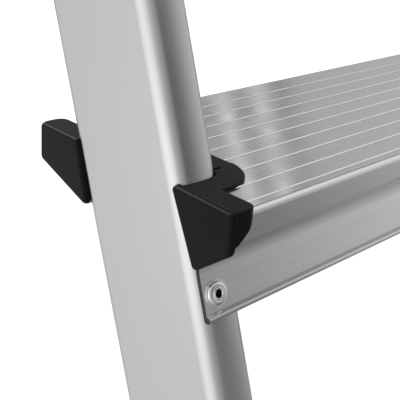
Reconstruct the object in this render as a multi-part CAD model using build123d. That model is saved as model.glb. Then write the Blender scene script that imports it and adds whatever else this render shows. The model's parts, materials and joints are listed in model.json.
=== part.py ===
"""Platform step ladder: two leaning aluminium stiles with deep treads, a folding
platform, a rear frame that folds against the stiles, and a tool tray on top.

Millimetres, +Z up, +X to the right of a person who stands in front of the ladder,
+Y to the back. The origin lies on the floor at the centre of the ladder's box.
Paired pieces are modelled on the left side (-X) and mirrored to the right.
"""
from build123d import *
import math
import os

# ---- driving dimensions -------------------------------------------------------
LEAN = 21.0                     # stile lean from vertical, in degrees
FLARE = 1.9                     # sideways lean of each stile, in degrees
REAR_LEAN = 12.0                # rear leg lean from vertical when open
TREAD_TOPS = [240.0, 480.0, 720.0]
PLATFORM_TOP = 960.0
HALF_WIDTH = 240.0              # centre to the stile's outer face at the first tread

STILE_W, STILE_D, STILE_R, STILE_T = 24.0, 68.0, 6.0, 1.6
STILE_TOP = 1540.0
LEG_W, LEG_D, LEG_R, LEG_T = 20.0, 40.0, 4.0, 1.5

NOSE_OUT = 29.6                 # tread nose in front of the stile's front face
NOSE_FACE = 11.3                # height of the nose's front face
NOSE_R = 2.5
SKIN = 2.0                      # wall of noses and skirts
TOP_SKIN = 2.2                  # wall of the tread's top
REAR_OUT = 98.0                 # tread's rear edge behind the stile's front face
REAR_R = 8.0
REAR_FACE = 14.0
SKIRT_BOTTOM = -51.1
LIP_R = 1.1
RIB_PITCH, RIB_W, RIB_H, RIB_COUNT = 12.5, 1.0, 0.4, 9
FIRST_RIB = -23.1
WEB_PLACES = [24.0, 49.0]
WEB_H = 16.0
END_INSET = 0.8                 # tread ends inside the stile's outer face
NOTCH_GAP = 2.0                 # room beside the stile in the tread's notch

CAP_PROUD = 1.5                 # cap plate outside the stile's outer face
CAP_PLATE = 1.4                 # plate's inner face, inside the stile's outer face
CAP_GROOVE, CAP_GROOVE_DEPTH = 0.5, 0.45
CAP_ROUND = 1.8                 # rounding of the plate's outer edges
CAP_DEPTH = 13.0
CAP_CORNER = 5.0                # rounding of the body's inner corner, seen from above
CAP_COVER = 1.5
LOBE_REACH = 37.8               # cap lobe's reach across the tread
LOBE_FRONT = -11.3
LOBE_R = 20.0
LOBE_STEP, LOBE_STEP_DEPTH = 8.0, 0.6
LOBE_SPLIT = 36.4               # front and rear lobes meet beside this depth
SLOT_W, SLOT_D, SLOT_DEPTH = 5.0, 2.4, 1.2

RIVET_FLANGE_R, RIVET_SHANK_R, RIVET_HEAD_H = 5.6, 2.5, 1.8
RIVET_RECESS_R, RIVET_RECESS_H, RIVET_GRIP = 1.5, 1.2, 8.0
SKIRT_RIVET_SIDES = [8.0, 15.0]  # front and rear skirt rivets inside the stile's outer face
REAR_SKIRT_INSET = 7.0          # rear skirt ends inside the stile's outer face
SKIRT_RIVET_DOWN = 44.3

SOLE_H, BOOT_FLOOR, BOOT_H, BOOT_WALL = 8.0, 4.0, 70.0, 4.0
SOLE_MARGIN = 10.0

HINGE_DEPTH = 124.0             # hinge axis behind the stile's front face
HINGE_Z = 1100.0
HINGE_PIN_R, PIN_PLAY = 5.0, 0.06
CHEEK_T, CHEEK_R = 3.0, 20.0
WEB_T = 3.0
WASHER_R, WASHER_T = 12.0, 1.0
LEG_END = 14.0                  # leg tube ends this far below the hinge axis

SUPPORT_DROP = 188.0            # support tube below the hinge, along the leg
SUPPORT_R, SUPPORT_T = 15.0, 1.6
SOCKET_R, SOCKET_L = 20.0, 12.0
CROSSBAR_DROPS = {"upper": 430.0, "lower": 760.0}
CROSSBAR_H, CROSSBAR_D, CROSSBAR_T, CROSSBAR_R = 45.0, 15.0, 1.8, 3.0

PIVOT_DEPTH, PIVOT_Z = 34.0, 940.0
PIVOT_PIN_R, PIVOT_BUSH_R = 5.0, 15.0
DECK_HALF, DECK_FRONT, DECK_REAR = 178.0, 22.0, 230.0
DECK_SKIN, DECK_EDGE_H, DECK_EDGE_R = 2.2, 28.0, 8.0
DECK_WEB_H = 18.0
RAIL_T, RAIL_H, RAIL_INSET = 4.0, 38.0, 2.0
HOOK_W, HOOK_LIP, REST_GAP = 22.0, 22.0, 0.4

TRAY_BOTTOM, TRAY_TOP, TRAY_HALF = 1500.0, 1562.0, 212.0
TRAY_FRONT, TRAY_BACK, TRAY_R, TRAY_WALL = 552.0, 704.0, 20.0, 3.0
TRAY_WELL, TRAY_WELL_HALF = [562.0, 668.0], 150.0
TOOL_HOLES, TOOL_HOLE_R, TRAY_SCREW_R = [-90.0, 0.0, 90.0], 9.0, 3.0

# ---- directions and places ----------------------------------------------------
TAN_LEAN = math.tan(math.radians(LEAN))
SIN_LEAN = math.sin(math.radians(LEAN))
COS_LEAN = math.cos(math.radians(LEAN))
TAN_FLARE = math.tan(math.radians(FLARE))
SIN_REAR = math.sin(math.radians(REAR_LEAN))
COS_REAR = math.cos(math.radians(REAR_LEAN))

STILE_UP = Vector(TAN_FLARE, TAN_LEAN, 1).normalized()
STILE_BACK = Vector(0, COS_LEAN, -SIN_LEAN)
STILE_IN = STILE_BACK.cross(STILE_UP)
LEG_UP = Vector(TAN_FLARE * COS_LEAN, -SIN_REAR, COS_REAR).normalized()
LEG_BACK = Vector(0, COS_REAR, SIN_REAR)
LEG_IN = LEG_BACK.cross(LEG_UP)


def stile_corner(height):
    """Point of the left stile's outer front edge at a height."""
    x = -(HALF_WIDTH - (height - TREAD_TOPS[0]) * TAN_FLARE)
    return Vector(x, height * TAN_LEAN, height)


def behind_stile(depth, height, side=STILE_W / 2):
    """Point at a depth behind the left stile's front face, at a true height."""
    level = height + depth * SIN_LEAN
    place = stile_corner(level) + STILE_IN * side + STILE_BACK * depth
    return Vector(place.X, place.Y, height)


HINGE = behind_stile(HINGE_DEPTH, HINGE_Z)
PIVOT = behind_stile(PIVOT_DEPTH, PIVOT_Z)
SUPPORT = HINGE - LEG_UP * SUPPORT_DROP
LEG_FOOT = HINGE - LEG_UP * (HINGE_Z / LEG_UP.Z)
DECK_FRONT_Y = stile_corner(PLATFORM_TOP).Y - DECK_FRONT
DECK_REAR_Y = PIVOT.Y + DECK_REAR
FRONT_SOLE = [-SOLE_MARGIN, STILE_D / COS_LEAN + SOLE_MARGIN]
REAR_SOLE = [LEG_FOOT.Y - LEG_D / 2 - SOLE_MARGIN, LEG_FOOT.Y + LEG_D / 2 + SOLE_MARGIN]
CENTRE_Y = (FRONT_SOLE[0] + REAR_SOLE[1]) / 2


# ---- helpers ------------------------------------------------------------------
def write(node, shape):
    """Write one node, moved so that the origin is at the centre of the box."""
    export_step(Pos(0, -CENTRE_Y, 0) * shape, f"parts/{node}.step")


def write_pair(node, left):
    """Write a left piece and its mirrored right piece."""
    write(f"{node}_left", left)
    write(f"{node}_right", mirror(left, about=Plane.YZ))


def both_sides(shapes):
    """The shapes of the left side with their mirror images."""
    return shapes + [mirror(shape, about=Plane.YZ) for shape in shapes]


def outline(*points, radius=0.0):
    """Closed face through points, with one corner radius or a list of them."""
    line = FilletPolyline(*points, radius=radius, close=True)
    return make_face(line.edges())


def bar(origin, along, across, width, depth, radius, length, margin=0.0):
    """Rounded bar: its width lies along across, and it runs length along along."""
    plane = Plane(origin=origin, x_dir=across, z_dir=along)
    face = RectangleRounded(width + 2 * margin, depth + 2 * margin, radius + margin)
    return extrude(plane * face, amount=length)


def between(shape, low, high):
    """The stretch of a shape between two heights."""
    above = split(shape, bisect_by=Plane.XY.offset(low), keep=Keep.TOP)
    return split(above, bisect_by=Plane.XY.offset(high), keep=Keep.BOTTOM)


def stile_bar(low, high, margin=0.0):
    """Outer shape of the left stile between two heights."""
    start = stile_corner(-200) + STILE_IN * STILE_W / 2 + STILE_BACK * STILE_D / 2
    solid = bar(start, STILE_UP, STILE_IN, STILE_W, STILE_D, STILE_R, 2200, margin)
    return between(solid, low, high)


def leg_bar(low, high, margin=0.0):
    """Outer shape of the left rear leg between two heights."""
    start = LEG_FOOT - LEG_UP * 100
    solid = bar(start, LEG_UP, LEG_IN, LEG_W, LEG_D, LEG_R, 1500, margin)
    return between(solid, low, high)


def rod(start, direction, radius, length):
    """Cylinder from a point along a direction."""
    return extrude(Plane(origin=start, z_dir=direction) * Circle(radius), amount=length)


def cross_rod(centre, radius, low_x, high_x):
    """Cylinder along X through a centre's Y and Z."""
    return rod(Vector(low_x, centre.Y, centre.Z), Vector(1, 0, 0), radius, high_x - low_x)


# ---- rivets -------------------------------------------------------------------
def rivet(seat, outward):
    """Blind rivet: domed flange with a small recess, and a shank through the walls."""
    plane = Plane(origin=seat, z_dir=outward)
    flange = plane * Circle(RIVET_FLANGE_R)
    body = extrude(flange, amount=RIVET_HEAD_H, taper=30)
    shank = extrude(plane * Circle(RIVET_SHANK_R), amount=-RIVET_GRIP)
    mouth = plane.offset(RIVET_HEAD_H) * Circle(RIVET_RECESS_R)
    return body + shank - extrude(mouth, amount=-RIVET_RECESS_H)


def rivet_hole(seat, outward):
    """Hole for one rivet's shank."""
    return rod(seat + outward * 2, -outward, RIVET_SHANK_R, RIVET_GRIP + 4)


def skirt_seats():
    """Rivet seats on the left ends of the treads' front and rear skirts."""
    seats = []
    for top in TREAD_TOPS:
        place = stile_corner(top) - STILE_UP * SKIRT_RIVET_DOWN
        front = place + STILE_IN * SKIRT_RIVET_SIDES[0] - STILE_BACK * SKIN
        rear = place + STILE_IN * SKIRT_RIVET_SIDES[1] + STILE_BACK * (STILE_D + SKIN)
        seats += [(front, -STILE_BACK), (rear, STILE_BACK)]
    return seats


def bracket_seats():
    """Rivet seats on the left hinge bracket's outer and inner cheeks."""
    seats = []
    middle = HINGE - STILE_BACK * (HINGE_DEPTH - STILE_D / 2)
    for step in (-22, 22):
        place = middle + STILE_UP * step
        seats.append((place - STILE_IN * (STILE_W / 2 + CHEEK_T), -STILE_IN))
        seats.append((place + STILE_IN * (STILE_W / 2 + CHEEK_T), STILE_IN))
    return seats


def front_boot_seats():
    """Rivet seat on the left front boot's outer side."""
    place = stile_corner(BOOT_H - 22) + STILE_BACK * STILE_D / 2
    return [(place - STILE_IN * BOOT_WALL, -STILE_IN)]


def rear_boot_seats():
    """Rivet seat on the left rear boot's outer side."""
    place = LEG_FOOT + LEG_UP * (BOOT_H - 22)
    return [(place - LEG_IN * (LEG_W / 2 + BOOT_WALL), -LEG_IN)]


def crossbar_seats():
    """Rivet seats on the left ends of the rear crossbars."""
    seats = []
    for drop in CROSSBAR_DROPS.values():
        for step in (-12, 12):
            place = HINGE - LEG_UP * (drop + step) + LEG_BACK * (LEG_D / 2 + CROSSBAR_D)
            seats.append((place, LEG_BACK))
    return seats


def rivets(seats):
    """Rivets in the left seats and in their mirror images."""
    return Compound(both_sides([rivet(seat, outward) for seat, outward in seats]))


def drilled(shape, seats):
    """A left piece with its rivet holes."""
    for seat, outward in seats:
        shape = shape - rivet_hole(seat, outward)
    return shape


# ---- front frame --------------------------------------------------------------
def stile():
    """Left stile: a rounded rectangular tube."""
    inner = stile_bar(-100, STILE_TOP + 100, -STILE_T)
    tube = stile_bar(SOLE_H + BOOT_FLOOR, STILE_TOP) - inner
    tube = drilled(tube, skirt_seats() + bracket_seats() + front_boot_seats())
    return tube - cross_rod(PIVOT, PIVOT_PIN_R, PIVOT.X, PIVOT.X + STILE_W)


def nose_cove():
    """Radius and centre of the concave sweep between the nose and the front skirt."""
    radius = (NOSE_OUT * COS_LEAN - NOSE_FACE * SIN_LEAN - SKIN) / (1 + SIN_LEAN)
    return radius, Vector(-NOSE_OUT, -NOSE_FACE - radius)


def on_plane(depth, height):
    """Point in the tread's section at a depth behind the stile's front face."""
    return Vector((depth + height * SIN_LEAN) / COS_LEAN, height)


def tread_skin():
    """Section of the tread without its ribs."""
    radius, centre = nose_cove()
    inward = Vector(COS_LEAN, -SIN_LEAN)
    half = math.radians((90 - LEAN) / 2)
    middle = Vector(math.sin(half), math.cos(half))
    back_r = radius + SKIN
    inner_rise = math.sqrt(back_r ** 2 - SKIN ** 2)
    inner_middle = Vector(math.sin(half * 1.1), math.cos(half * 1.1))
    nose_in = Vector(-NOSE_OUT + SKIN, centre.Y + inner_rise)
    edges = [
        Line(on_plane(-SKIN, SKIRT_BOTTOM), centre + inward * radius),
        ThreePointArc(centre + inward * radius, centre + middle * radius,
                      centre + Vector(0, radius)),
        FilletPolyline((-NOSE_OUT, -NOSE_FACE), (-NOSE_OUT, 0), (REAR_OUT, 0),
                       (REAR_OUT, -REAR_FACE), on_plane(STILE_D + SKIN, -27),
                       on_plane(STILE_D + SKIN, SKIRT_BOTTOM),
                       on_plane(STILE_D, SKIRT_BOTTOM), on_plane(STILE_D, -24.8),
                       (REAR_OUT - SKIN, -REAR_FACE + 1.4), (REAR_OUT - SKIN, -TOP_SKIN),
                       (-NOSE_OUT + SKIN, -TOP_SKIN), nose_in,
                       radius=[NOSE_R, REAR_R, 0.8, 4, 0, 0, 4, 0.8, REAR_R - SKIN, 0.8]),
        ThreePointArc(nose_in, centre + inner_middle * back_r, centre + inward * back_r),
        Polyline(centre + inward * back_r, on_plane(0, SKIRT_BOTTOM),
                 on_plane(-SKIN, SKIRT_BOTTOM)),
    ]
    return make_face(Wire([edge for line in edges for edge in line.edges()]))


def tread_section():
    """Section of the tread with ribs, stiffening webs and the lip on its skirt."""
    section = tread_skin()
    for index in range(RIB_COUNT):
        section += Pos(FIRST_RIB + index * RIB_PITCH, RIB_H / 2 - 0.1) * Rectangle(RIB_W, RIB_H + 0.2)
    for place in WEB_PLACES:
        section += Pos(place, -WEB_H / 2 - 0.1) * Rectangle(SKIN, WEB_H - 0.2)
    lip = on_plane(-SKIN, SKIRT_BOTTOM + LIP_R)
    bead = Pos(lip.X, lip.Y) * Circle(LIP_R)
    behind = Pos(lip.X, lip.Y) * Rot(0, 0, LEAN) * Pos(LIP_R + SKIN, 0) * Rectangle(2 * LIP_R, 4 * LIP_R)
    return section + (bead - behind)


def tread_blank(top):
    """Tread before notching: the section drawn out between the outer faces."""
    corner = stile_corner(top)
    plane = Plane(origin=(-HALF_WIDTH - 40, corner.Y, top), x_dir=(0, 1, 0), z_dir=(1, 0, 0))
    blank = extrude(plane * tread_section(), amount=2 * HALF_WIDTH + 80)
    for sign in (1, -1):
        inward = Vector(sign * STILE_IN.X, STILE_IN.Y, STILE_IN.Z)
        place = corner + STILE_IN * END_INSET
        end = Plane(origin=(sign * place.X, place.Y, place.Z), z_dir=inward)
        blank = split(blank, bisect_by=end, keep=Keep.TOP)
    return blank


def notch(top):
    """Room for the left stile in a tread, open at the tread's end."""
    reach = STILE_W + NOTCH_GAP + 20
    start = stile_corner(top - 120) + STILE_IN * (reach / 2 - 20) + STILE_BACK * STILE_D / 2
    face = Plane(origin=start, x_dir=STILE_IN, z_dir=STILE_UP) * Rectangle(reach, STILE_D)
    return extrude(face, amount=200)


def skirt_trim(top):
    """What is cut off the left end of a tread's rear skirt, below its end cap."""
    start = stile_corner(top - 4) + STILE_IN * (REAR_SKIRT_INSET - 15) + STILE_BACK * (STILE_D + 5)
    face = Plane(origin=start, x_dir=STILE_IN, z_dir=STILE_UP) * Rectangle(30, 10)
    return extrude(face, amount=-80)


def tread(top):
    """One tread with its notches and rivet holes."""
    shape = tread_blank(top)
    for cutter in both_sides([notch(top), skirt_trim(top)]):
        shape = shape - cutter
    for hole in both_sides([rivet_hole(seat, outward) for seat, outward in skirt_seats()]):
        shape = shape - hole
    return shape


def cap_sweep():
    """Front view of a cap's body, drawn downward: its end curves back under the nose."""
    curve = Spline((CAP_DEPTH, 0), (11.7, 4.0), (9.0, 7.4), (6.1, 10.2), (3.7, 12.2), (0.5, 13.7))
    rest = Polyline((0.5, 13.7), (0, 13.7), (0, -3), (CAP_DEPTH, -3), (CAP_DEPTH, 0))
    return make_face(curve.edges() + rest.edges())


def cap_block(top, plate, body, plan, cover, lobe):
    """Plate, grooved neck, inner body and cover of a tread end cap, before it is cut to fit."""
    corner = stile_corner(top)
    side = Plane(origin=corner, x_dir=(0, 1, 0), z_dir=STILE_IN)
    level = Plane(origin=(corner.X, corner.Y, top))
    outer = extrude(side.offset(-CAP_PROUD) * plate, amount=CAP_PLATE + CAP_PROUD)
    outer = fillet(outer.faces().sort_by(Axis.X)[0].edges(), CAP_ROUND)
    start = CAP_PLATE + CAP_GROOVE
    neck = extrude(side * offset(plate, -CAP_GROOVE_DEPTH), amount=start + 0.3)
    inner = extrude(side.offset(start) * body, amount=CAP_DEPTH)
    inner = inner & extrude(level.offset(-60) * plan, amount=70)
    before = Plane(origin=(corner.X, corner.Y - 60, top), x_dir=(1, 0, 0), z_dir=(0, 1, 0))
    inner = inner & extrude(before * cap_sweep(), amount=220)
    lid = extrude(level * cover, amount=CAP_COVER)
    lid = chamfer(lid.faces().sort_by(Axis.Z)[-1].edges(), 0.6)
    collar = extrude(level * lobe, amount=-6)
    return outer + neck + inner + lid + collar


def fitted(block, top, shape):
    """A cap block with the tread and the stile cut out of it; the main solid."""
    cut = block - shape - stile_bar(top - 80, top + 80)
    for seat, outward in skirt_seats():
        cut = cut - rivet_hole(seat, outward)
    return cut.solids().sort_by(SortBy.VOLUME)[-1]


def lobe_face(near, far, radii):
    """Lobe of a cap's cover, from its corner end to where front and rear lobes meet."""
    start = CAP_PLATE + CAP_GROOVE
    return outline((start, near), (LOBE_REACH, near), (LOBE_REACH, far), (start, far), radius=radii)


def tab_face(near, far, radii):
    """Tab of a cap's cover over the nose."""
    start = CAP_PLATE + CAP_GROOVE
    return outline((start, near), (CAP_DEPTH, near), (CAP_DEPTH, far), (start, far), radius=radii)


def lobe_recess(top, near, far):
    """Shallow step in a cap's cover beside the stile."""
    corner = stile_corner(top)
    place = Pos(corner.X + STILE_W, corner.Y + (near + far) / 2, top + CAP_COVER)
    return place * Box(2 * LOBE_REACH, abs(far - near), 2 * LOBE_STEP_DEPTH)


def lobe_slot(top, near):
    """Small slot in a cap's cover, at the step beside the stile's inner face."""
    corner = stile_corner(top)
    place = Pos(corner.X + STILE_W + SLOT_W / 2, corner.Y + near, top + CAP_COVER)
    return place * Box(SLOT_W, SLOT_D, 2 * SLOT_DEPTH)


def front_cap(top, shape):
    """Left front end cap of a tread."""
    front = -NOSE_OUT - 1.2
    plate = outline((5.2, CAP_COVER + 0.6), (front - 0.4, CAP_COVER), (front - 0.4, -15.8),
                    (-11.8, -30.8), radius=[2.0, 2.4, 3.6, 2.2])
    body = outline((0, CAP_COVER), (front, CAP_COVER), (front, -13.8),
                   (-19.6, -24.8), (-9.5, -28.5), radius=[0, 1.5, 4, 4, 0])
    plan = tab_face(front, 10, [0, CAP_CORNER, 0, 0])
    tab = tab_face(front, LOBE_FRONT + 6, [0, CAP_CORNER, 0, 0])
    lobe = lobe_face(LOBE_FRONT, LOBE_SPLIT - 0.3, [0, LOBE_R, 2, 0])
    block = cap_block(top, plate, body, plan, tab + lobe, lobe)
    block = block - lobe_recess(top, LOBE_STEP, LOBE_SPLIT) - lobe_slot(top, LOBE_STEP - 1)
    return fitted(block, top, shape)


def rear_cap(top, shape):
    """Left rear end cap of a tread."""
    back = REAR_OUT + 1.6
    lobe_back = STILE_D / COS_LEAN - LOBE_FRONT
    plate = outline((69.6, CAP_COVER), (back + 0.4, CAP_COVER), (back + 0.4, -17), (60.6, -29.6),
                    radius=[2.0, 2.4, 3.2, 2.2])
    body = outline((72, CAP_COVER), (back, CAP_COVER), (back, -14), (61, -26),
                   radius=[0, 1.5, 6, 0])
    plan = tab_face(60, back, [0, 0, CAP_CORNER, 0])
    tab = tab_face(lobe_back - 6, back, [0, 0, CAP_CORNER, 0])
    lobe = lobe_face(LOBE_SPLIT + 0.3, lobe_back, [0, 2, LOBE_R, 0])
    block = cap_block(top, plate, body, plan, tab + lobe, lobe)
    return fitted(block - lobe_recess(top, LOBE_SPLIT, lobe_back - LOBE_R), top, shape)


def sole(centre_x, span, width):
    """Rubber sole under a boot, with grooves across its underside."""
    depth = span[1] - span[0]
    pad = extrude(Pos(centre_x, sum(span) / 2) * RectangleRounded(width, depth, 10), amount=SOLE_H)
    for index in range(3):
        place = span[0] + depth * (index + 1) / 4
        pad = pad - Pos(centre_x, place, 0) * Box(width + 10, 4, 4)
    return pad


def boot(outer, pad_centre, span, width, filled):
    """Plastic boot: a sleeve round the tube's end on a wider base."""
    middle = Pos(pad_centre, sum(span) / 2, SOLE_H)
    base = extrude(middle * RectangleRounded(width, span[1] - span[0], 10), amount=10)
    base = chamfer(base.faces().sort_by(Axis.Z)[-1].edges(), 2.5)
    return base + between(outer, SOLE_H, BOOT_H) - filled


def front_boot():
    """Left front boot."""
    outer = stile_bar(-10, 200, BOOT_WALL)
    filled = stile_bar(SOLE_H + BOOT_FLOOR, 200)
    shape = boot(outer, front_pad_x(), FRONT_SOLE, STILE_W + 2 * SOLE_MARGIN, filled)
    return drilled(shape, front_boot_seats())


def front_pad_x():
    """Centre of the left front sole."""
    return stile_corner(0).X + STILE_W / 2


def hinge_bracket():
    """Left hinge bracket: two cheeks on the stile joined by a web behind it."""
    cheeks = []
    for side in (-STILE_W / 2 - CHEEK_T, STILE_W / 2):
        plane = Plane(origin=HINGE, x_dir=STILE_BACK, z_dir=STILE_IN).offset(side)
        pad = Pos(STILE_D / 2 + 2 - HINGE_DEPTH, 0) * RectangleRounded(44, 84, 10)
        face = make_hull((pad + Circle(CHEEK_R)).edges())
        cheeks.append(extrude(plane * face, amount=CHEEK_T))
    place = HINGE - STILE_BACK * (HINGE_DEPTH - STILE_D - WEB_T / 2)
    plane = Plane(origin=place, x_dir=STILE_IN, z_dir=STILE_UP).offset(-26)
    web = extrude(plane * Rectangle(STILE_W + CHEEK_T, WEB_T), amount=52)
    shape = drilled(cheeks[0] + cheeks[1] + web, bracket_seats())
    shape = shape - stile_bar(HINGE_Z - 200, HINGE_Z + 300)
    return shape - cross_rod(HINGE, HINGE_PIN_R, HINGE.X - 40, HINGE.X + 40)


def hinge_pin():
    """Left hinge pin with a low head at each end."""
    low = HINGE.X - STILE_W / 2 - CHEEK_T - 1.0
    high = HINGE.X + STILE_W / 2 + CHEEK_T + 1.0
    pin = cross_rod(HINGE, HINGE_PIN_R, low, high)
    head = cross_rod(HINGE, HINGE_PIN_R + 4, low - 2.5, low)
    tail = cross_rod(HINGE, HINGE_PIN_R + 3, high, high + 2)
    return pin + head + tail


def pivot_bush():
    """Left bush between the stile and the platform's side rail."""
    ring = cross_rod(PIVOT, PIVOT_BUSH_R, PIVOT.X, -DECK_HALF + RAIL_INSET - REST_GAP)
    bore = cross_rod(PIVOT, PIVOT_PIN_R, PIVOT.X - 5, PIVOT.X + 60)
    return ring - bore - stile_bar(PIVOT_Z - 80, PIVOT_Z + 80)


def pivot_pin():
    """Left platform pivot pin, headed on the inside of the rail."""
    inner = -DECK_HALF + RAIL_INSET + RAIL_T + REST_GAP
    pin = cross_rod(PIVOT, PIVOT_PIN_R, PIVOT.X + 2, inner)
    return pin + cross_rod(PIVOT, PIVOT_PIN_R + 4, inner, inner + 4)


def tray_block(inset, low, high):
    """Rounded block of the tray's outline between two heights."""
    middle = Pos(0, (TRAY_FRONT + TRAY_BACK) / 2, low)
    face = RectangleRounded(2 * (TRAY_HALF - inset), TRAY_BACK - TRAY_FRONT - 2 * inset, TRAY_R - inset)
    return extrude(middle * face, amount=high - low)


def tray_well(margin, low):
    """Rounded block of the tray's well from a height up to the tray's top."""
    middle = Pos(0, (TRAY_WELL[0] + TRAY_WELL[1]) / 2, low)
    depth = TRAY_WELL[1] - TRAY_WELL[0]
    face = RectangleRounded(2 * (TRAY_WELL_HALF + margin), depth + 2 * margin, 12 + margin)
    return extrude(middle * face, amount=TRAY_TOP - low)


def tool_tray():
    """Plastic tray on top of the stiles, with a well, tool holes and stile sockets."""
    tray = tray_block(0, TRAY_BOTTOM, TRAY_TOP)
    tray = chamfer(tray.faces().sort_by(Axis.Z)[-1].edges(), 2)
    tray = tray - tray_block(TRAY_WALL, TRAY_BOTTOM, TRAY_TOP - TRAY_WALL)
    tray = tray + tray_well(TRAY_WALL, TRAY_BOTTOM)
    tray = tray - tray_well(0, TRAY_BOTTOM + TRAY_WALL)
    for sleeve in both_sides([stile_bar(TRAY_BOTTOM, TRAY_TOP - 1, TRAY_WALL)]):
        tray = tray + sleeve
    for envelope in both_sides([stile_bar(TRAY_BOTTOM - 100, STILE_TOP)]):
        tray = tray - envelope
    for place in TOOL_HOLES:
        tray = tray - Pos(place, (TRAY_WELL[1] + TRAY_BACK) / 2, TRAY_TOP) * Cylinder(TOOL_HOLE_R, 20)
    for hole in both_sides([tray_screw_shank()]):
        tray = tray - hole
    return tray


def tray_screw_shank():
    """Left screw's shank, from the tray's top down into the stile's open end."""
    place = stile_corner(STILE_TOP) + STILE_IN * STILE_W / 2 + STILE_BACK * STILE_D / 2
    start = Vector(place.X, place.Y, TRAY_TOP)
    return rod(start, Vector(0, 0, -1), TRAY_SCREW_R, TRAY_TOP - STILE_TOP + 12)


def tray_screw():
    """Left screw with its domed head."""
    shank = tray_screw_shank()
    seat = shank.faces().sort_by(Axis.Z)[-1].center()
    return shank + extrude(Plane(origin=seat) * Circle(2 * TRAY_SCREW_R), amount=2, taper=20)


# ---- rear frame ---------------------------------------------------------------
def rear_leg():
    """Left rear leg: a tube that ends under its hinge plug."""
    tube = leg_bar(SOLE_H + BOOT_FLOOR, HINGE_Z - LEG_END)
    tube = tube - leg_bar(-50, HINGE_Z, -LEG_T)
    return drilled(tube, rear_boot_seats() + crossbar_seats())


def leg_plug():
    """Left hinge plug: a round knuckle on the leg's end, with a stem inside the tube."""
    plane = Plane(origin=HINGE - LEG_IN * LEG_W / 2, x_dir=LEG_BACK, z_dir=LEG_IN)
    knuckle = make_hull((Circle(LEG_D / 2) + Pos(0, -LEG_D / 2) * Rectangle(LEG_D, LEG_D)).edges())
    head = extrude(plane * knuckle, amount=LEG_W) & leg_bar(HINGE_Z - LEG_END, HINGE_Z + 60)
    stem = leg_bar(HINGE_Z - LEG_END - 30, HINGE_Z - LEG_END, -LEG_T)
    return head + stem - cross_rod(HINGE, HINGE_PIN_R + PIN_PLAY, HINGE.X - 40, HINGE.X + 40)


def hinge_washers():
    """Washers on the left hinge pin, one on each side of the leg."""
    rings = []
    for centre in (-(STILE_W + LEG_W) / 4, (STILE_W + LEG_W) / 4):
        ring = rod(HINGE + STILE_IN * (centre - WASHER_T / 2), STILE_IN, WASHER_R, WASHER_T)
        rings.append(ring - cross_rod(HINGE, HINGE_PIN_R + PIN_PLAY, HINGE.X - 40, HINGE.X + 40))
    return rings


def support_tube():
    """Tube between the rear legs that carries the platform's back edge."""
    tube = cross_rod(SUPPORT, SUPPORT_R, SUPPORT.X, -SUPPORT.X)
    tube = tube - cross_rod(SUPPORT, SUPPORT_R - SUPPORT_T, SUPPORT.X, -SUPPORT.X)
    for envelope in both_sides([leg_bar(SUPPORT.Z - 60, SUPPORT.Z + 60)]):
        tube = tube - envelope
    return tube


def support_socket():
    """Left flanged collar on the support tube, against the leg."""
    ring = cross_rod(SUPPORT, SOCKET_R, SUPPORT.X, SUPPORT.X + LEG_W / 2 + SOCKET_L)
    ring = ring - cross_rod(SUPPORT, SUPPORT_R, SUPPORT.X - 5, SUPPORT.X + 60)
    return ring - leg_bar(SUPPORT.Z - 60, SUPPORT.Z + 60)


def crossbar_end(drop):
    """Plane at a crossbar's left end, with X through its depth, and its length."""
    centre = HINGE - LEG_UP * drop + LEG_BACK * (LEG_D + CROSSBAR_D) / 2
    half = LEG_W / 2 - centre.X
    return Plane(origin=(-half, centre.Y, centre.Z), x_dir=LEG_BACK, z_dir=(1, 0, 0)), 2 * half


def crossbar_face(inset):
    """Rounded rectangle of a crossbar's section, shrunk by an inset."""
    return RectangleRounded(CROSSBAR_D - 2 * inset, CROSSBAR_H - 2 * inset, CROSSBAR_R - inset)


def crossbar(drop):
    """Rear crossbar: a flat tube across the backs of the legs."""
    end, length = crossbar_end(drop)
    tube = extrude(end * (crossbar_face(0) - crossbar_face(CROSSBAR_T)), amount=length)
    for hole in both_sides([rivet_hole(seat, outward) for seat, outward in crossbar_seats()]):
        tube = tube - hole
    return tube


def crossbar_plug(drop):
    """Plug in a crossbar's left end."""
    end, _ = crossbar_end(drop)
    return extrude(end * crossbar_face(0), amount=-3) + extrude(end * crossbar_face(CROSSBAR_T), amount=4)


def rear_boot():
    """Left rear boot."""
    outer = leg_bar(-10, 200, BOOT_WALL)
    filled = leg_bar(SOLE_H + BOOT_FLOOR, 200)
    shape = boot(outer, LEG_FOOT.X, REAR_SOLE, LEG_W + 2 * SOLE_MARGIN, filled)
    return drilled(shape, rear_boot_seats())


# ---- platform -----------------------------------------------------------------
def deck():
    """Ribbed platform deck with turned-down front and rear edges."""
    low = PLATFORM_TOP - DECK_EDGE_H
    under = PLATFORM_TOP - DECK_SKIN
    front, rear = DECK_FRONT_Y, DECK_REAR_Y
    section = outline((front, low), (front, PLATFORM_TOP), (rear, PLATFORM_TOP), (rear, low),
                      (rear - SKIN, low), (rear - SKIN, under), (front + SKIN, under),
                      (front + SKIN, low),
                      radius=[0, DECK_EDGE_R, DECK_EDGE_R, 0, 0, DECK_EDGE_R - SKIN,
                              DECK_EDGE_R - SKIN, 0])
    ribs = int((rear - front - 2 * DECK_EDGE_R) // RIB_PITCH) + 1
    first = (front + rear - (ribs - 1) * RIB_PITCH) / 2
    for index in range(ribs):
        place = first + index * RIB_PITCH
        section += Pos(place, PLATFORM_TOP + RIB_H / 2 - 0.1) * Rectangle(RIB_W, RIB_H + 0.2)
    for share in (0.3, 0.5, 0.68):
        place = front + (rear - front) * share
        section += Pos(place, under - DECK_WEB_H / 2 + 0.1) * Rectangle(SKIN, DECK_WEB_H)
    plane = Plane(origin=(-DECK_HALF, 0, 0), x_dir=(0, 1, 0), z_dir=(1, 0, 0))
    return extrude(plane * section, amount=2 * DECK_HALF)


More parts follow.
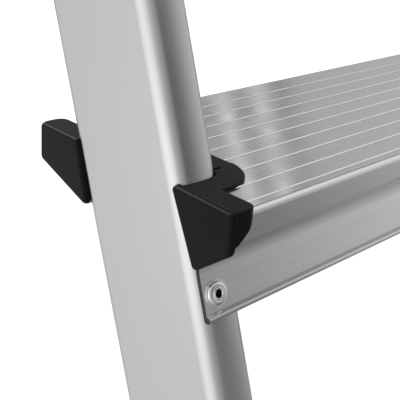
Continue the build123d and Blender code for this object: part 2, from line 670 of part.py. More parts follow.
def rail(shape):
    """Left side rail under the deck, bored for the pivot pin."""
    under = PLATFORM_TOP - DECK_SKIN
    front, rear = DECK_FRONT_Y + 14, DECK_REAR_Y - 12
    face = outline((front, under), (rear, under), (rear, under - 24), (rear - 60, under - 24),
                   (PIVOT.Y + 34, under - RAIL_H), (front, under - RAIL_H), radius=[0, 0, 3, 20, 20, 8])
    plane = Plane(origin=(-DECK_HALF + RAIL_INSET, 0, 0), x_dir=(0, 1, 0), z_dir=(1, 0, 0))
    plate = extrude(plane * face, amount=RAIL_T) - shape
    plate = plate - cross_rod(PIVOT, PIVOT_PIN_R + PIN_PLAY, -DECK_HALF - 5, -DECK_HALF + 15)
    return plate.solids().sort_by(SortBy.VOLUME)[-1]


def hook(shape):
    """Left hook: a pad that sits on the support tube, with a lip behind it."""
    seat = SUPPORT.Z + SUPPORT_R + REST_GAP
    under = PLATFORM_TOP - DECK_SKIN
    behind = SUPPORT.Y + SUPPORT_R + 3
    face = outline((SUPPORT.Y - 26, under), (behind + 7, under), (behind + 7, seat - HOOK_LIP),
                   (behind, seat - HOOK_LIP), (behind, seat), (SUPPORT.Y - 26, seat),
                   radius=[0, 0, 3, 3, 1, 4])
    inner = -DECK_HALF + RAIL_INSET + RAIL_T
    plane = Plane(origin=(inner, 0, 0), x_dir=(0, 1, 0), z_dir=(1, 0, 0))
    return (extrude(plane * face, amount=HOOK_W) - shape).solids().sort_by(SortBy.VOLUME)[-1]


def end_trim():
    """Left plastic trim on the deck's cut end, over the rail's top edge."""
    low = PLATFORM_TOP - DECK_EDGE_H
    face = outline((DECK_FRONT_Y - 1, low), (DECK_FRONT_Y - 1, PLATFORM_TOP + 1.2),
                   (DECK_REAR_Y + 1, PLATFORM_TOP + 1.2), (DECK_REAR_Y + 1, low),
                   radius=[2, DECK_EDGE_R + 1, DECK_EDGE_R + 1, 2])
    plane = Plane(origin=(-DECK_HALF - 2, 0, 0), x_dir=(0, 1, 0), z_dir=(1, 0, 0))
    trim = extrude(plane * face, amount=2)
    return trim - cross_rod(PIVOT, PIVOT_BUSH_R + REST_GAP, PIVOT.X, 0)


# ---- writing ------------------------------------------------------------------
def write_front_frame():
    """Write every piece of the fixed front frame."""
    write_pair("stile", stile())
    for number, top in enumerate(TREAD_TOPS, start=1):
        shape = tread(top)
        write(f"tread_{number}", shape)
        write_pair(f"tread_{number}_front_cap", front_cap(top, shape))
        write_pair(f"tread_{number}_rear_cap", rear_cap(top, shape))
    write("tread_rivets", rivets(skirt_seats()))
    write_pair("front_boot", front_boot())
    write_pair("front_sole", sole(front_pad_x(), FRONT_SOLE, STILE_W + 2 * SOLE_MARGIN))
    write("front_boot_rivets", rivets(front_boot_seats()))
    write_pair("hinge_bracket", hinge_bracket())
    write("hinge_bracket_rivets", rivets(bracket_seats()))
    write_pair("hinge_pin", hinge_pin())
    write("hinge_washers", Compound(both_sides(hinge_washers())))
    write_pair("platform_pivot_bush", pivot_bush())
    write_pair("platform_pivot_pin", pivot_pin())
    write("tool_tray", tool_tray())
    write("tray_screws", Compound(both_sides([tray_screw()])))


def write_rear_frame():
    """Write every piece of the folding rear frame."""
    write_pair("rear_leg", rear_leg())
    write_pair("rear_leg_plug", leg_plug())
    write("support_tube", support_tube())
    write_pair("support_socket", support_socket())
    plugs = []
    for name, drop in CROSSBAR_DROPS.items():
        write(f"rear_crossbar_{name}", crossbar(drop))
        plugs.append(crossbar_plug(drop))
    write("rear_crossbar_plugs", Compound(both_sides(plugs)))
    write("rear_crossbar_rivets", rivets(crossbar_seats()))
    write_pair("rear_boot", rear_boot())
    write_pair("rear_sole", sole(LEG_FOOT.X, REAR_SOLE, LEG_W + 2 * SOLE_MARGIN))
    write("rear_boot_rivets", rivets(rear_boot_seats()))


def write_platform():
    """Write every piece of the folding platform."""
    shape = deck()
    write("platform_deck", shape)
    write_pair("platform_rail", rail(shape))
    write_pair("platform_hook", hook(shape))
    write_pair("platform_end_trim", end_trim())


os.makedirs("parts", exist_ok=True)
write_front_frame()
write_rear_frame()
write_platform()
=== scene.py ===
"""Looks of the platform step ladder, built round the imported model.

Metres, +Z up, +Y to the back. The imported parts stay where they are; this script gives
them their materials, adds the rivets and other small detailed pieces, and sets the
studio and the camera.
"""
import json
import math

import bmesh
import bpy
from mathutils import Matrix, Vector


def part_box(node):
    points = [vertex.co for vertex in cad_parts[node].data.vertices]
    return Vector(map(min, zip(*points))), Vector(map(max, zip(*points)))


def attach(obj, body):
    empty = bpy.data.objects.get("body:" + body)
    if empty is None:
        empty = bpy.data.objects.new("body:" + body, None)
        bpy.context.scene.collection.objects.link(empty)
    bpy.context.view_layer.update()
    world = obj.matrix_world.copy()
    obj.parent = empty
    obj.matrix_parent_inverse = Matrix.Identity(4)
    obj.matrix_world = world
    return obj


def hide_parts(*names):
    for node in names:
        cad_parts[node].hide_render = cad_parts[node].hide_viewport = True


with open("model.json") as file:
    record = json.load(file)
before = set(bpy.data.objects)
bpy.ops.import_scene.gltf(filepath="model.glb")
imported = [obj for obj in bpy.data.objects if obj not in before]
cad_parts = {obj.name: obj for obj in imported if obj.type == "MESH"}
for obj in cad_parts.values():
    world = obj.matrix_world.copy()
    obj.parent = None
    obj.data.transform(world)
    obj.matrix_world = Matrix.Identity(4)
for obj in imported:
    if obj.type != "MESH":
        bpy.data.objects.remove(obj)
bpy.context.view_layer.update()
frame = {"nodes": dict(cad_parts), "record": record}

MM = 0.001
LEAN = math.radians(21.0)
FLARE = math.radians(1.9)
REAR_LEAN = math.radians(12.0)
HALF_WIDTH = 0.240              # centre to the stile's outer face at the first tread
NOSE_OUT = 0.0296               # tread nose in front of the stile
RIB_H = 0.0004
RIVET_HEAD_H = 0.0018
SHARP_ANGLE = math.radians(38.0)  # edges that turn more than this stay sharp

# Section of a tread, in millimetres: depth behind the stile's front edge, height over its top.
NOSE_FACE = 11.3                # height of the nose's front face
NOSE_R, NOSE_FOOT_R = 2.5, 0.4
SKIN, TOP_SKIN = 2.0, 2.2       # walls of noses and skirts, and of the top
REAR_OUT, REAR_R = 98.0, 8.0
REAR_FOOT_R = 0.8
SKIRT_BOTTOM = -51.1
LIP_R, LIP_HEIGHT = 1.6, -49.6
FIRST_RIB, RIB_PITCH, RIB_COUNT = -23.1, 12.5, 9
RIB_HALF, RIB_PROUD = 0.6, 0.42
WEB_PLACES, WEB_FOOT = (50.0, 25.0), -16.0
END_INSET = 0.8                 # tread ends inside the stile's outer face

# Stile tube, in millimetres.
STILE_W, STILE_D, STILE_R = 24.0, 68.0, 6.0
CROWN_SLOPE = 10.0              # of the front's crown where it meets the corners, in degrees

STILE_UP = Vector((math.tan(FLARE), math.tan(LEAN), 1)).normalized()
STILE_BACK = Vector((0, math.cos(LEAN), -math.sin(LEAN)))
STILE_IN = STILE_BACK.cross(STILE_UP)
LEG_UP = Vector((math.tan(FLARE) * math.cos(LEAN), -math.sin(REAR_LEAN), math.cos(REAR_LEAN)))
LEG_UP.normalize()
LEG_BACK = Vector((0, math.cos(REAR_LEAN), math.sin(REAR_LEAN)))
LEG_IN = LEG_BACK.cross(LEG_UP)


def tread_corner(number):
    """The left stile's outer front edge at the height of a tread's top."""
    low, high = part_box(f"tread_{number}")
    height = high.z - RIB_H
    rise = height - (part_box("tread_1")[1].z - RIB_H)
    return Vector((-HALF_WIDTH + rise * math.tan(FLARE), low.y + NOSE_OUT, height))


CORNER = tread_corner(1)


# ---- node graphs --------------------------------------------------------------
class Graph:
    """A material's or world's node tree, with short calls for the nodes used here."""

    def __init__(self, owner):
        owner.use_nodes = True
        self.tree = owner.node_tree
        self.tree.nodes.clear()

    def add(self, kind, inputs=None, **settings):
        node = self.tree.nodes.new("ShaderNode" + kind)
        for key, value in settings.items():
            setattr(node, key, value)
        for key, value in (inputs or {}).items():
            self.feed(node.inputs[key], value)
        return node

    def feed(self, socket, value):
        if isinstance(value, bpy.types.NodeSocket):
            self.tree.links.new(value, socket)
        else:
            socket.default_value = value

    def math(self, operation, a, b=0.0, c=0.0):
        return self.add("Math", {0: a, 1: b, 2: c}, operation=operation).outputs[0]

    def dot(self, vector, direction):
        node = self.add("VectorMath", {0: vector, 1: tuple(direction)}, operation="DOT_PRODUCT")
        return node.outputs["Value"]

    def place(self):
        return self.add("TexCoord").outputs["Object"]

    def axes(self, across, other, along, stretch, scale=1.0):
        """Coordinates along three directions, in units of scale metres, drawn out along the last."""
        place = self.place()
        parts = [self.math("DIVIDE", self.dot(place, across), scale),
                 self.math("DIVIDE", self.dot(place, other), scale),
                 self.math("DIVIDE", self.dot(place, along), scale * stretch)]
        return self.add("CombineXYZ", {0: parts[0], 1: parts[1], 2: parts[2]}).outputs[0]

    def noise(self, vector, scale, detail=2.0, roughness=0.5):
        node = self.add("TexNoise", {"Vector": vector, "Scale": scale, "Detail": detail,
                                     "Roughness": roughness})
        return node.outputs["Fac"]

    def span(self, value, low, high, to_low=0.0, to_high=1.0, smooth=False):
        kind = "SMOOTHSTEP" if smooth else "LINEAR"
        node = self.add("MapRange", {"Value": value, "From Min": low, "From Max": high,
                                     "To Min": to_low, "To Max": to_high}, interpolation_type=kind)
        return node.outputs["Result"]

    def mix(self, factor, a, b):
        node = self.add("Mix", data_type="RGBA")
        self.feed(node.inputs[0], factor)
        self.feed(node.inputs[6], a)
        self.feed(node.inputs[7], b)
        return node.outputs[2]

    def bump(self, height, distance, strength=1.0, normal=None):
        node = self.add("Bump", {"Height": height, "Strength": strength, "Distance": distance})
        if normal is not None:
            self.feed(node.inputs["Normal"], normal)
        return node.outputs["Normal"]

    def worn_edges(self, radius):
        """White along sharp edges, black on flat and gently curved stretches."""
        soft = self.add("Bevel", {"Radius": radius}, samples=4).outputs["Normal"]
        flat = self.add("NewGeometry").outputs["Normal"]
        same = self.add("VectorMath", {0: soft, 1: flat}, operation="DOT_PRODUCT").outputs["Value"]
        return self.span(same, 0.995, 0.90, 0.0, 1.0, smooth=True)

    def soft_normal(self, radius):
        return self.add("Bevel", {"Radius": radius}, samples=4).outputs["Normal"]


def grey(value):
    return (value, value, value, 1.0)


def surface(name, **plain):
    """A material with a Principled shader; plain values go straight on its sockets."""
    material = bpy.data.materials.new(name)
    graph = Graph(material)
    shader = graph.add("BsdfPrincipled")
    output = graph.add("OutputMaterial")
    graph.tree.links.new(shader.outputs[0], output.inputs["Surface"])
    for key, value in plain.items():
        shader.inputs[key.replace("_", " ")].default_value = value
    return material, graph, shader


# ---- materials ----------------------------------------------------------------
def drawn_metal(name, up, back, inward, tone=0.52, rough=(0.27, 0.33)):
    """Satin drawn aluminium tube: faint lines along it, clouds in its sheen, worn edges."""
    material, graph, shader = surface(name, Metallic=1.0)
    lines = graph.noise(graph.axes(inward, back, up, 160.0, 0.0011), 1.0, 3.0, 0.6)
    fine = graph.noise(graph.axes(inward, back, up, 60.0, 0.0004), 1.0, 2.0, 0.5)
    clouds = graph.noise(graph.place(), 14.0, 3.0, 0.55)
    wear = graph.worn_edges(0.0008)
    tones = graph.mix(graph.span(lines, 0.3, 0.7), grey(tone * 0.985), grey(tone * 1.015))
    tones = graph.mix(graph.span(clouds, 0.35, 0.7, 0.0, 0.5), tones, grey(tone * 0.97))
    graph.feed(shader.inputs["Base Color"], graph.mix(wear, tones, grey(min(tone * 1.15, 0.9))))
    sheen = graph.math("ADD", graph.span(clouds, 0.3, 0.7, rough[0], rough[1]),
                       graph.span(fine, 0.3, 0.7, -0.02, 0.02))
    graph.feed(shader.inputs["Roughness"], sheen)
    graph.feed(shader.inputs["Normal"], graph.bump(fine, 0.000002, 0.3, graph.bump(lines, 0.000003, 0.3)))
    return material


def tread_metal(name, tone=0.75):
    """Bright extruded aluminium, brushed along the tread so that it mirrors sharply that way only."""
    material, graph, shader = surface(name, Metallic=1.0, Anisotropic=0.85)
    side, back, up = Vector((0, 1, 0)), Vector((0, 0, 1)), Vector((1, 0, 0))
    lines = graph.noise(graph.axes(side, back, up, 300.0, 0.0016), 1.0, 3.0, 0.65)
    fine = graph.noise(graph.axes(side, back, up, 90.0, 0.0004), 1.0, 2.0, 0.5)
    clouds = graph.noise(graph.place(), 40.0, 4.0, 0.6)
    tones = graph.mix(graph.span(lines, 0.3, 0.7), grey(tone * 0.96), grey(tone * 1.03))
    graph.feed(shader.inputs["Base Color"], tones)
    sheen = graph.math("ADD", graph.span(clouds, 0.3, 0.7, 0.14, 0.22),
                       graph.span(fine, 0.3, 0.7, -0.03, 0.03))
    graph.feed(shader.inputs["Roughness"], sheen)
    graph.feed(shader.inputs["Normal"], graph.bump(fine, 0.000008, 0.5, graph.bump(lines, 0.00001, 0.4)))
    normal = graph.add("NewGeometry").outputs["Normal"]
    cross = graph.add("VectorMath", {0: normal, 1: (1.0, 0.0, 0.0)}, operation="CROSS_PRODUCT")
    graph.feed(shader.inputs["Tangent"], cross.outputs["Vector"])
    return material


def plain_metal(name, tone=0.6, rough=0.35):
    """Sheet and bar metal with a fine grain along the ladder's width."""
    material, graph, shader = surface(name, Metallic=1.0)
    back, up, width = Vector((0, 1, 0)), Vector((0, 0, 1)), Vector((1, 0, 0))
    grain = graph.noise(graph.axes(back, up, width, 80.0, 0.0006), 1.0, 3.0)
    clouds = graph.noise(graph.place(), 30.0, 3.0)
    wear = graph.worn_edges(0.0006)
    tones = graph.mix(graph.span(grain, 0.3, 0.7), grey(tone * 0.94), grey(tone * 1.05))
    graph.feed(shader.inputs["Base Color"], graph.mix(wear, tones, grey(min(tone * 1.2, 0.9))))
    graph.feed(shader.inputs["Roughness"], graph.span(clouds, 0.3, 0.7, rough - 0.05, rough + 0.08))
    graph.feed(shader.inputs["Normal"], graph.bump(grain, 0.00002, 0.4, graph.soft_normal(0.0003)))
    return material


def moulded_plastic(name, tone=0.0048, rough=(0.28, 0.38), grain=0.00022):
    """Black moulded plastic: fine spark grain, softened edges that are a little polished."""
    material, graph, shader = surface(name)
    shader.inputs["Specular IOR Level"].default_value = 0.06
    pits = graph.noise(graph.place(), 1.0 / grain, 2.0, 0.6)
    scuffs = graph.noise(graph.place(), 90.0, 4.0, 0.6)
    wear = graph.worn_edges(0.0007)
    tones = graph.mix(graph.span(scuffs, 0.35, 0.75, 0.0, 1.0), grey(tone), grey(tone * 1.35))
    graph.feed(shader.inputs["Base Color"], graph.mix(wear, tones, grey(tone * 1.8)))
    graph.feed(shader.inputs["Roughness"], graph.span(scuffs, 0.3, 0.7, rough[0], rough[1]))
    graph.feed(shader.inputs["Normal"], graph.bump(pits, 0.00003, 0.35, graph.soft_normal(0.0005)))
    return material


def studio_floor_surface():
    """Pale matte floor with a very faint mottle."""
    material, graph, shader = surface("studio_floor", Roughness=0.9)
    mottle = graph.noise(graph.place(), 3.0, 3.0)
    graph.feed(shader.inputs["Base Color"], graph.mix(mottle, grey(0.92), grey(0.94)))
    return material


def mirrored(direction):
    return Vector((-direction.x, direction.y, direction.z))


def make_materials():
    """Every material of the ladder, by slot and by side."""
    stile_ways = (STILE_UP, STILE_BACK, STILE_IN)
    leg_ways = (LEG_UP, LEG_BACK, LEG_IN)
    return {
        "stile_left": drawn_metal("stile_left_metal", *stile_ways),
        "stile_right": drawn_metal("stile_right_metal", *map(mirrored, stile_ways)),
        "rear_leg_left": drawn_metal("leg_left_metal", *leg_ways),
        "rear_leg_right": drawn_metal("leg_right_metal", *map(mirrored, leg_ways)),
        "tread_metal": tread_metal("tread_metal"),
        "bar_metal": plain_metal("bar_metal"),
        "cut_metal": plain_metal("sawn_metal", 0.05, 0.5),
        "rivet": plain_metal("rivet_metal", 0.78, 0.2),
        # near-black metal for the rivet's stem, also laid over the walls of the rivet's hole: painted shade
        # down the hole
        "stem": plain_metal("rivet_stem", 0.02, 0.5),
        "steel": plain_metal("pin_steel", 0.5, 0.3),
        "black_plastic": moulded_plastic("black_plastic"),
        "washer_plastic": moulded_plastic("washer_plastic", 0.02, (0.35, 0.45)),
        "rubber": moulded_plastic("sole_rubber", 0.010, (0.7, 0.85), 0.0005),
    }


def dress_nodes(materials):
    """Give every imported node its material."""
    slots = {part["node"]: part["material_slot"] for part in frame["record"]["subparts"]}
    for name, obj in frame["nodes"].items():
        material = materials.get(name) or materials[slots[name]]
        obj.data.materials.clear()
        obj.data.materials.append(material)


# ---- pieces -------------------------------------------------------------------
def lathe(bm, profile, place, axis, steps=48):
    """Turn a profile of (radius, height) points about an axis; an end that lies on the axis closes to a
    point.
    """
    turn = axis.to_track_quat("Z", "Y").to_matrix().to_4x4()
    rings = []
    for radius, height in profile:
        if radius < 1e-7:
            rings.append([bm.verts.new(place + turn @ Vector((0, 0, height)))])
            continue
        ring = []
        for index in range(steps):
            angle = 2 * math.pi * index / steps
            spot = Vector((radius * math.cos(angle), radius * math.sin(angle), height))
            ring.append(bm.verts.new(place + turn @ spot))
        rings.append(ring)
    for lower, upper in zip(rings, rings[1:]):
        for index in range(steps):
            after = (index + 1) % steps
            corners = [lower[index % len(lower)], lower[after % len(lower)],
                       upper[after % len(upper)], upper[index % len(upper)]]
            unique = list(dict.fromkeys(corners))
            if len(unique) > 2:
                bm.faces.new(unique)


# Turned profiles of a blind rivet, as (radius, height) in millimetres.
RIVET_PROFILE = [(2.4, -3.0), (2.4, 0.0), (6.0, 0.0), (6.1, 0.12), (6.08, 0.35), (5.9, 0.46),
                 (5.7, 0.42), (5.62, 0.18), (5.3, 0.18), (5.22, 0.5), (5.15, 0.85), (4.85, 1.15),
                 (4.3, 1.45), (3.7, 1.62), (3.35, 1.62), (3.15, 1.5), (3.0, 1.4), (2.85, 1.48),
                 (2.65, 1.78), (2.4, 1.92), (2.15, 1.9), (1.95, 1.75), (1.8, 1.4)]
# The hole's walls and the stem's end, coloured near-black as painted shade in the hole.
HOLE_PROFILE = [(1.8, 1.4), (1.72, 0.9), (1.7, 0.2), (1.3, 0.1), (0.8, 0.2), (0.0, 0.25)]


def loose_parts(mesh):
    """Vertex places of each separate solid in a mesh."""
    bm = bmesh.new()
    bm.from_mesh(mesh)
    bmesh.ops.remove_doubles(bm, verts=bm.verts, dist=1e-6)
    left = set(bm.verts)
    parts = []
    while left:
        stack = [left.pop()]
        part = []
        while stack:
            vert = stack.pop()
            part.append(vert.co.copy())
            for edge in vert.link_edges:
                other = edge.other_vert(vert)
                if other in left:
                    left.discard(other)
                    stack.append(other)
        parts.append(part)
    bm.free()
    return parts


def rivet_seat(points, axis):
    """Seat and outward direction of one packed rivet that lies along an axis."""
    side = axis.orthogonal().normalized()
    other = axis.cross(side)
    spans = [[point.dot(way) for point in points] for way in (side, other, axis)]
    across, along, middle = [(min(span) + max(span)) / 2 for span in spans]
    centre = side * across + other * along
    shank = 4 * MM                  # the flange is all that lies further out than this
    flange = [point.dot(axis) for point in points
              if (point - centre - axis * point.dot(axis)).length > shank]
    if sum(flange) / len(flange) > middle:
        return centre + axis * (max(spans[2]) - RIVET_HEAD_H), axis
    return centre + axis * (min(spans[2]) + RIVET_HEAD_H), -axis


def finished_object(name, bm, slots):
    """Object from a bmesh, smooth across gentle edges, with its materials."""
    mesh = bpy.data.meshes.new(name)
    bm.to_mesh(mesh)
    bm.free()
    for material in slots:
        mesh.materials.append(material)
    for face in mesh.polygons:
        face.use_smooth = True
    mesh.set_sharp_from_angle(angle=SHARP_ANGLE)
    obj = bpy.data.objects.new(name, mesh)
    bpy.context.scene.collection.objects.link(obj)
    return obj


def rivet_group(node, body, axis, materials):
    """Blind rivets in place of a node's rivets: rolled flange, collar and the stem down its hole; the hole's
    walls and the stem take a near-black metal as painted shade.
    """
    bm = bmesh.new()
    profile = [(radius * MM, height * MM) for radius, height in RIVET_PROFILE]
    hole = [(radius * MM, height * MM) for radius, height in HOLE_PROFILE]
    for points in loose_parts(frame["nodes"][node].data):
        along = axis if points[0].x < 0 else mirrored(axis)
        place, outward = rivet_seat(points, along)
        lathe(bm, [(0.0, -3.0 * MM)] + profile, place, outward)
        before = len(bm.faces)
        lathe(bm, hole, place, outward)
        bm.faces.ensure_lookup_table()
        # the hole takes the near-black stem material: painted shade down the hole
        for index in range(before, len(bm.faces)):
            bm.faces[index].material_index = 1
    bmesh.ops.remove_doubles(bm, verts=bm.verts, dist=1e-6)
    bmesh.ops.recalc_face_normals(bm, faces=bm.faces)
    obj = finished_object(node.replace("rivets", "rivet_heads"), bm, [materials["rivet"], materials["stem"]])
    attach(obj, body)
    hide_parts(node)


# ---- treads -------------------------------------------------------------------
def arc(centre, radius, start, end, steps):
    """Points of an arc in the tread's section, between two angles in degrees."""
    spots = []
    for index in range(steps + 1):
        angle = math.radians(start + (end - start) * index / steps)
        spots.append((centre[0] + radius * math.cos(angle), centre[1] + radius * math.sin(angle)))
    return spots


def behind(depth, height):
    """Point of the section at a depth behind the stile's front face, in millimetres."""
    return ((depth + height * math.sin(LEAN)) / math.cos(LEAN), height)


def rib(place):
    """Low round rib on the tread's top."""
    spots = []
    for index in range(9):
        share = index / 4 - 1
        spots.append((place + RIB_HALF * share, RIB_PROUD * (math.cos(math.pi * share) + 1) / 2))
    return spots


def tread_profile():
    """Outline of the tread's section in millimetres, from the front skirt's foot and round."""
    nose = NOSE_OUT / MM
    lean = math.degrees(LEAN)
    reach = (nose * math.cos(LEAN) - NOSE_FACE * math.sin(LEAN) - SKIN) / (1 + math.sin(LEAN))
    hub = (-nose, -NOSE_FACE - reach)
    lip = behind(-1.9, LIP_HEIGHT)
    spots = [behind(0, SKIRT_BOTTOM), (lip[0] + 0.4, lip[1] - LIP_R)]
    spots += arc(lip, LIP_R, 270, 128, 12)
    spots += [behind(-1.65, -47.85), behind(-SKIN, -47.5)]
    spots += arc(hub, reach, -lean, 88, 28)
    spots += arc((-nose + NOSE_FOOT_R, -NOSE_FACE + NOSE_FOOT_R), NOSE_FOOT_R, 250, 180, 3)
    spots += arc((-nose + NOSE_R, -NOSE_R), NOSE_R, 180, 90, 12)
    for index in range(RIB_COUNT):
        spots += rib(FIRST_RIB + RIB_PITCH * index)
    spots += arc((REAR_OUT - REAR_R, -REAR_R), REAR_R, 90, 0, 12)
    spots += arc((REAR_OUT - REAR_FOOT_R, -13.2), REAR_FOOT_R, 0, -70, 4)
    spots += [behind(72.6, -26.2), behind(70.6, -27.6), behind(STILE_D + SKIN, -29.6)]
    spots += [behind(STILE_D + SKIN, SKIRT_BOTTOM), behind(STILE_D, SKIRT_BOTTOM)]
    spots += [behind(STILE_D, -25.2), (95.6, -12.8), (REAR_OUT - SKIN, -12.2)]
    spots += arc((REAR_OUT - REAR_R, -REAR_R - TOP_SKIN + SKIN), REAR_R - SKIN, 0, 90, 8)
    for place in WEB_PLACES:
        spots += [(place, -TOP_SKIN), (place, WEB_FOOT), (place - SKIN, WEB_FOOT), (place - SKIN, -TOP_SKIN)]
    spots += [(-nose + SKIN, -TOP_SKIN)]
    inner = reach + SKIN
    first = math.degrees(math.acos(SKIN / inner))
    spots += arc(hub, inner, first, -lean, 20)
    return spots


def cutter(bm, corners, way, length):
    """Prism on four corners, drawn out along a direction."""
    near = [bm.verts.new(corner) for corner in corners]
    far = [bm.verts.new(corner + way * length) for corner in corners]
    bm.faces.new(near)
    bm.faces.new(far[::-1])
    for index in range(4):
        after = (index + 1) % 4
        bm.faces.new([near[after], near[index], far[index], far[after]])


def stile_cutters(corner):
    """Prisms that clear the stiles and the skirt ends out of a tread."""
    bm = bmesh.new()
    notch = ((-20, STILE_W + 2), (0.03, STILE_D - 0.04), (-120, 80))
    skirt_end = ((-20, 7), (STILE_D - 0.1, STILE_D + 10), (-84, -4))
    for sign in (1, -1):
        for sides, depths, up in (notch, skirt_end):
            corners = []
            for side, depth in ((0, 0), (1, 0), (1, 1), (0, 1)):
                spot = corner + STILE_IN * sides[side] * MM + STILE_BACK * depths[depth] * MM
                spot = spot + STILE_UP * up[0] * MM
                corners.append(Vector((spot.x * sign, spot.y, spot.z)))
            way = STILE_UP if sign > 0 else mirrored(STILE_UP)
            cutter(bm, corners, way, (up[1] - up[0]) * MM)
    bmesh.ops.recalc_face_normals(bm, faces=bm.faces)
    mesh = bpy.data.meshes.new("cutters")
    bm.to_mesh(mesh)
    bm.free()
    obj = bpy.data.objects.new("cutters", mesh)
    bpy.context.scene.collection.objects.link(obj)
    return obj


def end_x(corner, spot):
    """X of a tread's left end at a point of its section, on the plane inside the stile's face."""
    place = corner + STILE_IN * END_INSET * MM
    return place.x - (STILE_IN.y * (spot.y - place.y) + STILE_IN.z * (spot.z - place.z)) / STILE_IN.x


def tread_piece(number, materials):
    """One tread: the drawn section with rounded ribs and edges, notched round the stiles."""
    corner = tread_corner(number)
    bm = bmesh.new()
    rings = [[], []]
    for depth, height in tread_profile():
        spot = Vector((0, corner.y + depth * MM, corner.z + height * MM))
        reach = end_x(corner, spot)
        rings[0].append(bm.verts.new((reach, spot.y, spot.z)))
        rings[1].append(bm.verts.new((-reach, spot.y, spot.z)))
    count = len(rings[0])
    for index in range(count):
        after = (index + 1) % count
        bm.faces.new([rings[0][index], rings[0][after], rings[1][after], rings[1][index]])
    for ring in (rings[0][::-1], rings[1]):
        bm.faces.new(ring).material_index = 1
    bmesh.ops.recalc_face_normals(bm, faces=bm.faces)
    obj = finished_object(f"tread_{number}_body", bm, [materials["tread_metal"], materials["cut_metal"]])
    tools = stile_cutters(corner)
    notches = obj.modifiers.new("notches", "BOOLEAN")
    notches.object = tools
    notches.operation = "DIFFERENCE"
    notches.solver = "EXACT"
    bpy.context.view_layer.update()
    evaluated = obj.evaluated_get(bpy.context.evaluated_depsgraph_get())
    obj.data = bpy.data.meshes.new_from_object(evaluated)
    obj.modifiers.clear()
    bpy.data.objects.remove(tools)
    obj.data.set_sharp_from_angle(angle=SHARP_ANGLE)
    weighted = obj.modifiers.new("weighted", "WEIGHTED_NORMAL")
    weighted.keep_sharp = True
    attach(obj, "front_frame")
    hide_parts(f"tread_{number}")


# ---- stiles -------------------------------------------------------------------
def stile_section():
    """Outline of the stile in millimetres, as (side, depth), with a slightly crowned front."""
    slope = math.radians(CROWN_SLOPE)
    middle, half = STILE_W / 2, STILE_W / 2 - STILE_R
    radius = STILE_R / (1 - math.sin(slope))
    rise = math.tan(slope) / (2 * half)
    edge = rise * half ** 2 + radius * math.cos(slope)
    spots = [(middle + step, rise * step ** 2) for step in range(-int(half), int(half) + 1)]
    for centre, curve, start, end in (((STILE_W - radius, edge), radius, 90 - CROWN_SLOPE, 0),
                                      ((STILE_W - STILE_R, STILE_D - STILE_R), STILE_R, 0, -90),
                                      ((STILE_R, STILE_D - STILE_R), STILE_R, 270, 180),
                                      ((radius, edge), radius, 180, 90 + CROWN_SLOPE)):
        for index in range(19):
            angle = math.radians(start + (end - start) * index / 18)
            spots.append((centre[0] + curve * math.cos(angle), centre[1] - curve * math.sin(angle)))
    return spots


def stile_piece(name, sign, materials):
    """One stile from inside its boot up into the tray's pocket."""
    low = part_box(name)[0].z + MM
    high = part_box(name)[1].z - MM
    bm = bmesh.new()
    rings = [[], []]
    for side, depth in stile_section():
        spot = CORNER + STILE_IN * side * MM + STILE_BACK * depth * MM
        for ring, level in zip(rings, (low, high)):
            at = spot + STILE_UP * (level - spot.z) / STILE_UP.z
            ring.append(bm.verts.new((at.x * sign, at.y, at.z)))
    bmesh.ops.remove_doubles(bm, verts=bm.verts, dist=1e-6)
    rings = [[vert for vert in ring if vert.is_valid] for ring in rings]
    count = len(rings[0])
    for index in range(count):
        after = (index + 1) % count
        bm.faces.new([rings[0][index], rings[0][after], rings[1][after], rings[1][index]])
    for ring in rings:
        bm.faces.new(ring)
    bmesh.ops.recalc_face_normals(bm, faces=bm.faces)
    obj = finished_object(name + "_tube", bm, [materials[name]])
    weighted = obj.modifiers.new("weighted", "WEIGHTED_NORMAL")
    weighted.keep_sharp = True
    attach(obj, "front_frame")
    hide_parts(name)


def make_pieces(materials):
    stile_piece("stile_left", 1, materials)
    stile_piece("stile_right", -1, materials)
    rivet_group("tread_rivets", "front_frame", STILE_BACK, materials)
    rivet_group("hinge_bracket_rivets", "front_frame", STILE_IN, materials)
    rivet_group("front_boot_rivets", "front_frame", STILE_IN, materials)
    rivet_group("rear_boot_rivets", "rear_frame", LEG_IN, materials)
    rivet_group("rear_crossbar_rivets", "rear_frame", LEG_BACK, materials)
    for number in (1, 2, 3):
        tread_piece(number, materials)


# ---- studio -------------------------------------------------------------------
def make_floor():
    mesh = bpy.data.meshes.new("studio_floor")
    half = 60.0
    corners = [(-half, -half, 0), (half, -half, 0), (half, half, 0), (-half, half, 0)]
    mesh.from_pydata(corners, [], [(0, 1, 2, 3)])
    mesh.materials.append(studio_floor_surface())
    floor = bpy.data.objects.new("studio_floor", mesh)
    bpy.context.scene.collection.objects.link(floor)
    floor.visible_glossy = False


def window_panes(graph, toward):
    """Two tall panes in a darker wall at the back right, as extra brightness by direction."""
    middle, pitch, width = math.radians(49.0), math.radians(3.0), math.radians(1.0)
    wall_half, slant, pane_glow, wall_shade = math.radians(4.0), 0.4, 0.66, -0.18
    axes = graph.add("SeparateXYZ", {0: toward})
    turn = graph.math("ARCTAN2", axes.outputs[1], axes.outputs[0])
    rise = graph.math("ARCSINE", axes.outputs[2])
    slanted = graph.math("MULTIPLY_ADD", rise, slant, turn)
    away = graph.math("ABSOLUTE", graph.math("SUBTRACT", slanted, middle))
    from_pane = graph.math("ABSOLUTE", graph.math("SUBTRACT", away, pitch / 2))
    pane = graph.span(from_pane, width * 0.7, width * 0.3)
    wall = graph.span(away, wall_half * 1.15, wall_half * 0.85)
    extra = graph.math("MULTIPLY_ADD", pane, pane_glow, graph.math("MULTIPLY", wall, wall_shade))
    low = graph.span(rise, math.radians(2.0), math.radians(8.0), smooth=True)
    high = graph.span(rise, math.radians(45.0), math.radians(30.0), smooth=True)
    return graph.math("MULTIPLY", extra, graph.math("MULTIPLY", low, high))


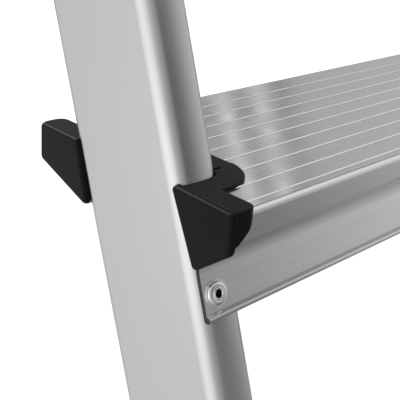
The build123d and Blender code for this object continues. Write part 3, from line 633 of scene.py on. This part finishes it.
def make_world():
    """Studio surround: each term is a direction, the light it adds or takes away, and its tightness."""
    terms = [((-0.63, 0.67, -0.40), 0.30, 1.6), ((-0.98, 0.10, -0.10), 0.90, 4.0),
             ((-0.88, -0.45, 0.0), 0.50, 10.0), ((0.42, -0.82, 0.39), -0.54, 8.0),
             ((0.95, -0.30, 0.0), 0.34, 4.0), ((0.60, -0.60, -0.53), -0.52, 8.0),
             ((0.63, -0.38, 0.65), 0.22, 8.0), ((0.0, 0.0, 1.0), 0.25, 2.0),
             ((0.73, 0.62, 0.29), -0.12, 12.0), ((0.64, 0.38, -0.67), -0.42, 5.0)]
    world = bpy.data.worlds.new("studio")
    bpy.context.scene.world = world
    graph = Graph(world)
    toward = graph.add("TexCoord").outputs["Generated"]
    total = 0.56
    for direction, gain, tightness in terms:
        near = graph.math("MAXIMUM", graph.dot(toward, Vector(direction).normalized()), 0.0)
        total = graph.math("MULTIPLY_ADD", graph.math("POWER", near, tightness), gain, total)
    total = graph.math("ADD", total, window_panes(graph, toward))
    strength = graph.math("MAXIMUM", total, 0.02)
    background = graph.add("Background", {"Color": grey(1.0), "Strength": strength})
    output = graph.add("OutputWorld")
    graph.tree.links.new(background.outputs[0], output.inputs["Surface"])


def soft_box(name, place, target, size, power):
    """Square area light that points from a place at a target."""
    light = bpy.data.lights.new(name, "AREA")
    light.shape = "SQUARE"
    light.size = size
    light.energy = power
    obj = bpy.data.objects.new(name, light)
    obj.location = place
    obj.rotation_euler = (Vector(target) - Vector(place)).to_track_quat("-Z", "Y").to_euler()
    obj.visible_camera = False
    bpy.context.scene.collection.objects.link(obj)


def make_camera():
    """Camera close to the left end of the first tread, looking in across it."""
    turn, dip, roll = math.radians(44.86), math.radians(23.86), math.radians(3.59)
    stand = Vector((-0.1961, -0.2087, 0.1235))  # from the tread's corner
    level = Vector((math.cos(turn), -math.sin(turn), 0))
    flat = Vector((math.sin(turn), math.cos(turn), 0))
    ahead = flat * math.cos(dip) - Vector((0, 0, math.sin(dip)))
    upright = level.cross(ahead)
    right = level * math.cos(roll) + upright * math.sin(roll)
    up = upright * math.cos(roll) - level * math.sin(roll)
    data = bpy.data.cameras.new("camera")
    data.lens = 70.52
    data.sensor_width = 36.0
    camera = bpy.data.objects.new("camera", data)
    facing = Matrix((right, up, -ahead)).transposed().to_4x4()
    camera.matrix_world = Matrix.Translation(CORNER + stand) @ facing
    bpy.context.scene.collection.objects.link(camera)
    bpy.context.scene.camera = camera


def make_studio():
    bpy.context.scene.view_settings.view_transform = "Standard"
    make_floor()
    make_world()
    soft_box("key_light", (-0.9, 2.2, 2.9), (0, 0.1, 0.3), 2.2, 150)
    make_camera()


materials = make_materials()
dress_nodes(materials)
make_pieces(materials)
make_studio()
